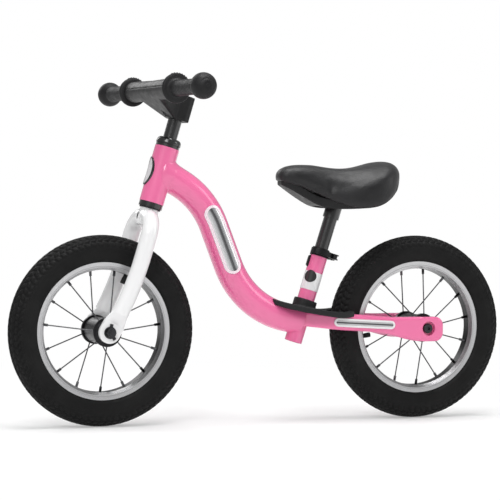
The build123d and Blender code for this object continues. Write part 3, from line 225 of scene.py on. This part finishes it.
def paint(name, colour, spread=0.02):
    """Gloss paint under a clear coat, with a faint orange peel."""
    look = Look(name, roughness=0.34, coat=1.0, coat_roughness=0.025)
    look.colour(look.shades(colour, spread, look.noise(14.0, 3.0)))
    look.roughness(look.mapped(look.noise(260.0, 4.0), 0.3, 0.7, 0.28, 0.42))
    look.bumps((look.noise(420.0, 1.0), 0.05, 0.0004), (look.noise(2600.0, 2.0), 0.02, 0.0002))
    return look.material


def moulded(name, colour, roughness=0.48, grain=1700.0, strength=0.22):
    """Moulded plastic with a fine sparked grain."""
    look = Look(name, roughness=roughness, gloss=0.35)
    look.colour(look.shades(colour, 0.16, look.noise(38.0, 4.0)))
    look.roughness(look.mapped(look.noise(110.0, 5.0), 0.3, 0.7, roughness - 0.07, roughness + 0.09))
    look.bumps((look.noise(grain, 3.0), strength, 0.0003), (look.cells(grain * 0.6), strength * 0.5, 0.0002))
    return look.material


def rubber(name, colour, roughness=0.62):
    """Soft matt rubber with a dusty bloom."""
    look = Look(name, roughness=roughness, gloss=0.25)
    bloom = look.mapped(look.noise(22.0, 6.0), 0.42, 0.72)
    dusty = tuple(c * 1.7 + 0.002 for c in colour)
    look.colour(look.mixed(bloom, colour, dusty))
    look.roughness(look.mapped(look.noise(90.0, 4.0), 0.3, 0.7, roughness - 0.08, roughness + 0.12))
    look.bumps((look.noise(1300.0, 4.0), 0.25, 0.0003), (look.noise(150.0, 2.0), 0.08, 0.0004))
    return look.material


def tyre_rubber():
    """Tyre rubber: mould rings on the sidewall, fine grain, a dusty bloom in patches."""
    look = Look("tyre", roughness=0.6, gloss=0.18)
    out = look.away((0, 0, 0), (1, 0, 1))
    rings = look.maths("SINE", look.maths("MULTIPLY", out, 3600.0))
    side = look.mapped(out, 0.134, 0.128)
    faint = look.maths("MULTIPLY", rings, side)
    bloom = look.mapped(look.noise(30.0, 6.0), 0.4, 0.75)
    look.colour(look.mixed(bloom, rubber_black, (0.0095, 0.0095, 0.0094)))
    look.roughness(look.mapped(look.noise(120.0, 4.0), 0.3, 0.7, 0.5, 0.7))
    look.bumps((look.noise(1500.0, 4.0), 0.3, 0.0003), (faint, 0.18, 0.00025))
    return look.material


def leatherette():
    """Soft vinyl leather: pebbled grain, finer creases and a slight satin sheen."""
    look = Look("leatherette", roughness=0.40, gloss=0.4)
    creases = look.cells(520.0, "SMOOTH_F1")
    pebbles = look.cells(900.0)
    look.colour(look.mixed(look.mapped(creases, 0.0, 0.6), leather_black, (0.0085, 0.0085, 0.0095)))
    look.roughness(look.mapped(look.noise(60.0, 5.0), 0.3, 0.7, 0.36, 0.52))
    look.bumps((creases, 0.35, 0.0005), (pebbles, 0.3, 0.0003), (look.noise(34.0, 3.0), 0.12, 0.0015))
    look.shader.inputs["Sheen Weight"].default_value = 0.08
    return look.material


def metal(name, colour, roughness=0.3, brushed=(900.0, 60.0, 900.0), metallic=1.0):
    """Brushed or plated metal with fine lines along one axis."""
    look = Look(name, roughness=roughness, metallic=metallic)
    lines = look.noise(1.0, 4.0, look.stretched(brushed))
    look.colour(look.shades(colour, 0.12, lines))
    look.roughness(look.mapped(lines, 0.3, 0.7, roughness - 0.07, roughness + 0.1))
    look.bumps((lines, 0.12, 0.0002),)
    return look.material


def rim_metal(name, axle_x):
    """Turned alloy with fine rings, a groove ring darkened with painted shade, and a black well."""
    look = Look(name, roughness=0.3, metallic=1.0)
    out = look.away((axle_x, 0, tyre_radius), (1, 0, 1))
    side = look.away((axle_x, 0, tyre_radius), (0, 1, 0))
    rings = look.noise(1.0, 3.0, look.node("ShaderNodeCombineXYZ", {
        "X": look.maths("MULTIPLY", out, 5200.0), "Y": look.maths("MULTIPLY", side, 900.0)}).outputs[0])
    # painted shade: the groove ring is coloured darker than the turned alloy round it
    groove = look.mapped(look.maths("ABSOLUTE", look.maths("SUBTRACT", out, 0.1018)), 0.0, 0.0006)
    bright = look.shades(silver, 0.14, rings)
    turned = look.mixed(groove, (0.33, 0.33, 0.34), bright)
    well = look.mapped(side, 0.0084, 0.0088)
    look.colour(look.mixed(well, (0.010, 0.010, 0.011), turned))
    look.roughness(look.mapped(rings, 0.3, 0.7, 0.24, 0.40))
    look.bumps((rings, 0.10, 0.0002), (groove, 0.3, 0.0003))
    return look.material


def inlay_film():
    """Grey reflective film on the round of the tube, with a painted reflection: a dark line down its middle
    and grey bands beside it, set by which way the surface faces.
    """
    look = Look("inlay_film", roughness=0.22, metallic=0.55, coat=0.6)
    # painted reflection: the colour turns to grey bands and a dark middle line where the surface faces
    # sideways
    facing = look.node("ShaderNodeSeparateXYZ", {"Vector": look.coordinates.outputs["Normal"]}).outputs["Y"]
    turn = look.maths("ABSOLUTE", facing)
    line = look.mapped(turn, 0.9900, 0.9992)
    painted_reflection_bands = look.mapped(turn, 0.940, 0.985)
    grid = look.cells(700.0)
    body = look.mixed(painted_reflection_bands, (0.68, 0.68, 0.69), painted_band_grey)
    body = look.mixed(look.mapped(grid, 0.1, 0.9, 0.0, 0.18), body, (0.42, 0.42, 0.43))
    look.colour(look.mixed(line, body, (0.08, 0.08, 0.085)))
    look.bumps((grid, 0.12, 0.0002),)
    return look.material


def stay_film(front, back):
    """White film on each chainstay's strip, with a thin dark line along its middle that is a painted
    reflection.
    """
    look = Look("stay_film", roughness=0.25, metallic=0.3, coat=0.6)
    way = (Vector(back) - Vector(front)).normalized()
    across = (-way.z, 0.0, way.x)
    # painted reflection: a thin dark line along the middle of the strip
    off = look.maths("ABSOLUTE", look.along(across, front))
    line = look.mapped(off, 0.0008, 0.0017, 1.0, 0.0)
    grid = look.cells(700.0)
    body = look.mixed(look.mapped(grid, 0.1, 0.9, 0.0, 0.2), (0.55, 0.55, 0.56), (0.44, 0.44, 0.45))
    look.colour(look.mixed(line, body, (0.04, 0.04, 0.045)))
    look.bumps((grid, 0.12, 0.0002),)
    return look.material


def dress(material, *names):
    """Gives CAD nodes a material."""
    for name in names:
        mesh = nodes[name].data
        mesh.materials.clear()
        mesh.materials.append(material)


# ---------------------------------------------------------------- mesh helpers
def link(name, mesh, material):
    """New object in the scene, with one material and smooth faces."""
    made = bpy.data.objects.new(name, mesh)
    bpy.context.scene.collection.objects.link(made)
    mesh.materials.clear()
    mesh.materials.append(material)
    mesh.polygons.foreach_set("use_smooth", [True] * len(mesh.polygons))
    return made


def ring_mesh(name, rows, wrap_rows=False, capped=True):
    """Mesh of quads over rows of points, each row a closed ring."""
    columns = len(rows[0])
    points = [point for row in rows for point in row]
    faces = []
    last = len(rows) if wrap_rows else len(rows) - 1
    for i in range(last):
        below = i * columns
        above = ((i + 1) % len(rows)) * columns
        for j in range(columns):
            k = (j + 1) % columns
            faces.append((below + j, below + k, above + k, above + j))
    if capped and not wrap_rows:
        faces.append(tuple(range(columns - 1, -1, -1)))
        faces.append(tuple(range((len(rows) - 1) * columns, len(rows) * columns)))
    mesh = bpy.data.meshes.new(name)
    mesh.from_pydata(points, [], faces)
    mesh.update()
    return mesh


def smooth_step(value, low, high):
    share = min(1.0, max(0.0, (value - low) / (high - low)))
    return share * share * (3 - 2 * share)


def applied(piece):
    """Replaces a piece's mesh with what its modifiers make of it."""
    bpy.context.view_layer.update()
    shown = piece.evaluated_get(bpy.context.evaluated_depsgraph_get())
    mesh = bpy.data.meshes.new_from_object(shown)
    piece.modifiers.clear()
    piece.data = mesh
    mesh.polygons.foreach_set("use_smooth", [True] * len(mesh.polygons))


def add_remesh(piece, voxel):
    """Modifier that gives a piece even faces."""
    remesh = piece.modifiers.new("remesh", "REMESH")
    remesh.mode = "VOXEL"
    remesh.voxel_size = voxel


def add_smoothing(piece, rounds):
    """Modifier that evens out a piece's surface."""
    smooth = piece.modifiers.new("smooth", "SMOOTH")
    smooth.factor = 0.5
    smooth.iterations = rounds


def add_finer(piece, levels):
    """Modifier that divides a piece's faces and rounds them."""
    finer = piece.modifiers.new("finer", "SUBSURF")
    finer.levels = levels
    finer.render_levels = levels


def softened(node, name, material, body, voxel, rounds):
    """Stands for a moulded CAD node whose edges are rounded over."""
    piece = link(name, nodes[node].data.copy(), material)
    add_remesh(piece, voxel)
    applied(piece)
    add_smoothing(piece, rounds)
    applied(piece)
    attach(piece, body)
    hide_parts(node)


# ---------------------------------------------------------------- tyres
def block_height(off, turn):
    """Height of the tread, 0 in a groove and 1 on a block, off from the middle and along the tyre."""
    off = abs(off)
    if off > tread_half_width:
        return 0.0
    for inner, outer, slant, shift, groove in tread_rows:
        if inner <= off <= outer:
            phase = (turn + off * slant / 1.5 + shift) % 1.0
            gap = min(phase, 1.0 - phase)
            edge = min(off - inner if inner else 1.0, outer - off)
            return smooth_step(gap, groove / 2 - 0.07, groove / 2 + 0.05) * smooth_step(edge, -0.0002, 0.0009)
    return 0.0


def tyre_section():
    """Places across the casing, along it from the middle, closer together in the tread."""
    reach = casing_radius * sidewall_reach
    fine = [tread_half_width * i / 24 for i in range(25)]
    coarse = [tread_half_width + (reach - tread_half_width) * i / 16 for i in range(1, 17)]
    half = fine + coarse
    return [-off for off in reversed(half[1:])] + half


def sidewall_rib(off):
    """Low mould ribs round the sidewall."""
    off = abs(off)
    height = 0.0
    for place, size in sidewall_ribs:
        height += size * math.exp(-((off - place) / sidewall_rib_width) ** 2)
    return height


def tyre_mesh():
    """Casing with modelled tread blocks and ribs, closed inside the rim."""
    middle = tyre_radius - casing_radius
    columns = tread_pitches * steps_per_pitch
    mirrored = [(out, -side) for out, side in reversed(tyre_inside)]
    inside = tyre_inside + [(tyre_crown_inside, 0.0)] + mirrored
    turns = [2 * math.pi * j / columns for j in range(columns)]
    directions = [(math.cos(turn), math.sin(turn)) for turn in turns]
    rows = []
    for off in tyre_section():
        angle = off / casing_radius
        row = []
        for j, (across, up) in enumerate(directions):
            height = tread_depth * block_height(off, j / steps_per_pitch) + sidewall_rib(off)
            size = casing_radius - tread_depth + height
            if abs(off) > 0.045:
                size += tread_depth * smooth_step(abs(off), 0.045, 0.057) * 0.7
            out = middle + size * math.cos(angle)
            row.append((out * across, size * math.sin(angle), out * up))
        rows.append(row)
    for out, side in inside:
        rows.append([(out * across, side, out * up) for across, up in directions])
    return ring_mesh("tyre", rows, wrap_rows=True)


def add_tyres(material):
    mesh = tyre_mesh()
    for end in ("front", "rear"):
        low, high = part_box(end + "_tyre")
        piece = link(end + "_tyre_treaded", mesh.copy(), material)
        piece.location = (low + high) / 2
        bpy.context.view_layer.update()
        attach(piece, end + "_wheel")
        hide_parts(end + "_tyre")


# ---------------------------------------------------------------- grips
def grip_profile():
    """Distance along the bar and radius, from the flange's inner face to the end of the ball."""
    profile = [
        (grip_flange_inner, 0.0113), (grip_flange_inner, 0.0195), (grip_flange_inner + 0.0005, 0.0212),
        (grip_flange_inner + 0.0014, 0.0224), (grip_flange_inner + 0.0026, 0.0230),
        (grip_flange_inner + 0.0045, 0.0232), (grip_flange_outer - 0.0026, 0.0230),
        (grip_flange_outer - 0.0014, 0.0224), (grip_flange_outer - 0.0005, 0.0212),
        (grip_flange_outer, 0.0192), (grip_flange_outer + 0.0004, 0.0168),
        (grip_flange_outer + 0.0012, 0.0150), (grip_flange_outer + 0.0026, 0.0137),
    ]
    start = grip_flange_outer + 0.0046
    end = grip_ball_middle - 0.0175
    steps = 112
    for i in range(steps + 1):
        share = i / steps
        place = start + (end - start) * share
        waist = (grip_body_radius - grip_waist_radius) * math.sin(math.pi * share)
        wave = math.sin(2 * math.pi * (place - start) / grip_rib_pitch)
        rib = grip_rib_height * smooth_step(wave, -0.35, 0.25)
        fade = smooth_step(min(share, 1 - share), 0.0, 0.04)
        profile.append((place, grip_body_radius - 0.0003 - waist + rib * fade))
    profile += [(end + 0.0014, 0.0130), (end + 0.0023, 0.0135)]
    for i in range(1, 41):
        angle = math.radians(136.0) * (1 - i / 40)
        radius = grip_ball_radius * math.sin(angle)
        place = grip_ball_middle + grip_ball_radius * math.cos(angle)
        place -= 0.0007 * math.exp(-((radius - 0.0105) / 0.0010) ** 2)
        place += 0.0004 * smooth_step(radius, 0.0034, 0.0024)
        place -= 0.0006 * smooth_step(radius, 0.0048, 0.0040) * smooth_step(radius, 0.0024, 0.0032)
        profile.append((place, max(radius, 0.0001)))
    return profile


def add_grips(material):
    low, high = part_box("handlebar_tube")
    centre = (low + high) / 2
    columns = 144
    for name, side in (("left", 1), ("right", -1)):
        rows = []
        for place, radius in grip_profile():
            row = []
            for j in range(columns):
                angle = 2 * math.pi * j / columns * side
                size = radius
                if radius > 0.0222 and place < grip_flange_outer:
                    top = smooth_step(math.cos(angle - math.radians(16)), 0.72, 0.86)
                    size += top * (0.0008 + 0.0005 * math.sin(36 * angle))
                row.append((-size * math.sin(angle), place * side, size * math.cos(angle)))
            rows.append(row)
        piece = link("grip_" + name + "_moulded", ring_mesh("grip_" + name, rows), material)
        piece.location = (centre.x, 0, centre.z)
        bpy.context.view_layer.update()
        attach(piece, "handlebar")
        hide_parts("grip_" + name)


# ---------------------------------------------------------------- saddle
def swollen(piece, pressure, steps):
    """Places of a piece's points after a short cloth simulation with air inside."""
    scene = bpy.context.scene
    cloth = piece.modifiers.new("cloth", "CLOTH")
    cloth.settings.use_pressure = True
    cloth.settings.uniform_pressure_force = pressure
    cloth.settings.effector_weights.gravity = 0.0
    cloth.point_cache.frame_end = steps
    for step in range(1, steps + 1):
        scene.frame_set(step)
    shown = piece.evaluated_get(bpy.context.evaluated_depsgraph_get())
    places = [point.co.copy() for point in shown.data.vertices]
    piece.modifiers.clear()
    scene.frame_set(1)
    return places


def cushion_mesh():
    """Lofted foam shape with a shallow recess under it for the base."""
    columns = 72
    rows = []
    for x, half_width, top, bottom, recess in cushion_sections:
        half_height = (top - bottom) / 2
        middle = (top + bottom) / 2
        row = []
        for j in range(columns):
            angle = 2 * math.pi * j / columns
            across, up = math.cos(angle), math.sin(angle)
            power = 2 / 2.2
            if up < 0:
                power = 2 / (3.5 + 3.5 * smooth_step(-x, 0.06, 0.13))
            y = half_width * math.copysign(abs(across) ** power, across)
            z = middle + half_height * math.copysign(abs(up) ** power, up)
            if up < 0:
                z += recess * smooth_step(half_width - abs(y), 0.006, 0.010)
            row.append((x, y, z))
        rows.append(row)
    return ring_mesh("cushion", rows)


def add_cushion(material):
    """Foam cushion in leatherette: a loft, swollen as cloth and held back under its edge."""
    piece = link("saddle_cushion", cushion_mesh(), material)
    add_finer(piece, 2)
    add_remesh(piece, cushion_voxel)
    applied(piece)
    mesh = piece.data
    normals = [point.normal.copy() for point in mesh.vertices]
    for point, normal in zip(mesh.vertices, normals):
        point.co -= normal * cushion_shrink
    rest = [point.co.copy() for point in mesh.vertices]
    places = [start + normal * cushion_shrink for start, normal in zip(rest, normals)]
    places = swollen(piece, cushion_pressure, cushion_steps)
    for point, start, end, normal in zip(mesh.vertices, rest, places, normals):
        move = end - start
        if move.length > cushion_cap:
            move *= cushion_cap / move.length
        point.co = start + move * smooth_step(normal.z, -0.7, 0.0)
    add_smoothing(piece, 4)
    add_finer(piece, 1)
    applied(piece)
    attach(piece, "seat")
    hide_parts("saddle_pad")


# ---------------------------------------------------------------- welds
def weld_rows():
    """Four rings of points, from the main tube's surface to the head tube's."""
    ahead = Vector((math.cos(head_lean), 0.0, math.sin(head_lean)))
    upward = Vector((-math.sin(head_lean), 0.0, math.cos(head_lean)))
    back = Vector((-math.cos(main_slope), 0.0, -math.sin(main_slope)))
    over = Vector((back.z, 0.0, -back.x))
    across = Vector((0.0, 1.0, 0.0))
    neck = head_radius - 0.0003
    rows = [[], [], [], []]
    for i in range(weld_points):
        angle = 2 * math.pi * i / weld_points
        side = main_radius * math.sin(angle)
        out = over * math.cos(angle) + across * math.sin(angle)
        line = main_start + out * main_radius
        reach = -math.sqrt(max(0.0, head_radius ** 2 - side ** 2))
        down = (reach - (line - head_foot).dot(ahead)) / back.dot(ahead)
        seam = line + back * down
        wall = line + back * max(down, 0.0)
        turn = weld_turn * math.sin(angle)
        rise = (seam - head_foot).dot(upward) + weld_spread * out.dot(upward)
        round_neck = ahead * (-neck * math.cos(turn)) + across * (neck * math.sin(turn))
        rows[0].append(tuple(wall + back * 0.0090 - out * 0.0004))
        rows[1].append(tuple(wall + back * 0.0070 + out * 0.0003))
        rows[2].append(tuple(seam + back * 0.0010 + out * 0.0006))
        rows[3].append(tuple(head_foot + upward * rise + round_neck))
    return rows


def add_head_weld(material):
    """Smooth weld over the joint of the main tube and the head tube."""
    piece = link("head_weld", ring_mesh("head_weld", weld_rows(), capped=False), material)
    add_finer(piece, 2)
    applied(piece)
    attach(piece, "frame")


# ---------------------------------------------------------------- stage
def add_camera():
    """Camera turned from square-on, looking a little down, with a slight roll."""
    turn, down, roll = 0.37025, 0.03416, 0.01282
    forward = Vector((-math.sin(turn) * math.cos(down), -math.cos(turn) * math.cos(down), -math.sin(down)))
    level = forward.cross(Vector((0, 0, 1))).normalized()
    upward = level.cross(forward)
    right = math.cos(roll) * level + math.sin(roll) * upward
    up = math.cos(roll) * upward - math.sin(roll) * level
    data = bpy.data.cameras.new("camera")
    data.sensor_width = 36.0
    data.lens = 160.08
    data.clip_end = 50.0
    camera = bpy.data.objects.new("camera", data)
    bpy.context.scene.collection.objects.link(camera)
    turned = Matrix((right, up, -forward)).transposed().to_4x4()
    camera.matrix_world = Matrix.Translation((1.31055, 3.31944, 0.39786)) @ turned
    bpy.context.scene.camera = camera


def add_light(name, place, target, size, power, shape_ratio=1.0):
    data = bpy.data.lights.new(name, "AREA")
    data.shape = "RECTANGLE"
    data.size = size
    data.size_y = size * shape_ratio
    data.energy = power
    light = bpy.data.objects.new(name, data)
    bpy.context.scene.collection.objects.link(light)
    light.location = place
    light.rotation_euler = (Vector(target) - Vector(place)).to_track_quat("-Z", "Y").to_euler()


def add_world():
    """White surround, much dimmer where it lights the object than where the camera sees it."""
    world = bpy.data.worlds.new("studio")
    world.use_nodes = True
    bpy.context.scene.world = world
    tree = world.node_tree
    shown = tree.nodes["Background"]
    shown.inputs["Color"].default_value = (1.0, 1.0, 1.0, 1.0)
    shown.inputs["Strength"].default_value = 1.0
    lit = tree.nodes.new("ShaderNodeBackground")
    lit.inputs["Color"].default_value = (1.0, 1.0, 1.0, 1.0)
    lit.inputs["Strength"].default_value = 0.34
    path = tree.nodes.new("ShaderNodeLightPath")
    mix = tree.nodes.new("ShaderNodeMixShader")
    tree.links.new(path.outputs["Is Camera Ray"], mix.inputs[0])
    tree.links.new(lit.outputs[0], mix.inputs[1])
    tree.links.new(shown.outputs[0], mix.inputs[2])
    tree.links.new(mix.outputs[0], tree.nodes["World Output"].inputs["Surface"])


def add_floor():
    """White floor that turns into an evenly lit white surround a little way out."""
    mesh = bpy.data.meshes.new("floor")
    reach = 12.0
    corners = [(-reach, -reach, 0), (reach, -reach, 0), (reach, reach, 0), (-reach, reach, 0)]
    mesh.from_pydata(corners, [], [(0, 1, 2, 3)])
    look = Look("floor", roughness=0.9)
    look.colour(look.shades((0.93, 0.93, 0.93), 0.01, look.noise(3.0)))
    glow = look.node("ShaderNodeEmission", {"Strength": 1.0})
    far = look.mapped(look.away((0, 0, 0), (1, 1, 0)), 0.35, 1.1, 0.32, 1.0)
    mix = look.node("ShaderNodeMixShader", {0: far, 1: look.shader.outputs[0], 2: glow.outputs[0]})
    look.tree.links.new(mix.outputs[0], look.tree.nodes["Material Output"].inputs["Surface"])
    floor = link("floor", mesh, look.material)
    floor.location.z = cad_box[0][2] - 0.0002


def add_stage():
    scene = bpy.context.scene
    scene.view_settings.view_transform = "Standard"
    scene.view_settings.look = "None"
    add_world()
    add_floor()
    add_camera()
    add_light("key", (1.7, 2.0, 2.1), (0.0, 0.0, 0.25), 1.3, 34.0)
    add_light("top", (0.0, 0.2, 2.4), (0.0, 0.0, 0.2), 1.5, 44.0)
    add_light("side", (-2.4, 1.4, 1.2), (0.0, 0.0, 0.25), 0.9, 12.0, 1.8)
    add_light("back", (0.6, -2.4, 1.6), (0.0, 0.0, 0.25), 1.2, 14.0)


# ---------------------------------------------------------------- the bike
def dress_frame():
    colour = paint("frame_paint", pink)
    dress(colour, "head_tube", "main_tube", "seat_tube", "chainstay_left", "chainstay_right")
    add_head_weld(colour)
    dress(paint("pale_trim", pale_pink), "tube_bezels")
    dress(paint("white_trim", (0.80, 0.80, 0.81)), "stay_bezels", "seat_tube_band")
    dress(inlay_film(), "tube_inlays")
    dress(stay_film((-0.108, 0.0, 0.1616), (-0.210, 0.0, 0.1562)), "stay_inlays")
    dress(paint("badge_black", near_black), "head_badge_rim", "seat_tube_roundel")
    dress(paint("badge_face", (0.66, 0.64, 0.66), 0.05), "head_badge_face")
    dress(paint("gloss_black", near_black), "headset_cups", "headset_dome", "seat_post", "quill_tube")
    dark = metal("dark_steel", dark_metal, 0.34)
    dress(dark, "headset_bearings", "rear_axle", "rear_axle_nut", "footrest_screws", "crown_race")
    dress(dark, "clamp_skewer", "clamp_nut", "clamp_pin", "saddle_bolts", "stem_set_screw")
    dress(dark, "expander_bolt", "expander_wedge", "front_axle", "front_axle_nuts", "safety_washers")
    anodised = metal("black_alloy", (0.012, 0.012, 0.0135), 0.32, metallic=0.6)
    dress(anodised, "seat_clamp", "clamp_lever", "front_hub", "rear_hub")
    dress(moulded("shim_plastic", near_black, 0.4), "seat_shim", "clamp_washer", "stem_plug")
    dress(paint("fork_paint", white, 0.01), "fork_steerer", "fork_blade_left", "fork_blade_right")
    dress(metal("bar_steel", (0.05, 0.05, 0.053), 0.3), "handlebar_tube")


def dress_wheels():
    for end in ("front", "rear"):
        low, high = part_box(end + "_rim")
        dress(rim_metal(end + "_rim_alloy", (low.x + high.x) / 2), end + "_rim")
        dress(metal(end + "_spoke_steel", (0.10, 0.10, 0.105), 0.3), end + "_spokes")
        dress(metal(end + "_bearing_steel", (0.30, 0.30, 0.31), 0.3), end + "_bearings")
        dress(rubber(end + "_tube_rubber", near_black), end + "_inner_tube")


def build():
    dress_frame()
    dress_wheels()
    add_tyres(tyre_rubber())
    add_grips(rubber("grip_rubber", (0.0105, 0.0105, 0.0112), 0.5))
    add_cushion(leatherette())
    black = moulded("stem_plastic", plastic_black, 0.46)
    softened("stem_body", "stem_body_moulded", black, "handlebar", 0.0009, 6)
    softened("stem_cap", "stem_cap_moulded", black, "handlebar", 0.0008, 2)
    softened("saddle_base", "saddle_base_moulded", black, "seat", 0.0012, 3)
    slate = moulded("footrest_plastic", slate_black, 0.55, 1200.0, 0.35)
    softened("footrest", "footrest_moulded", slate, "frame", 0.0011, 4)


add_stage()
build()
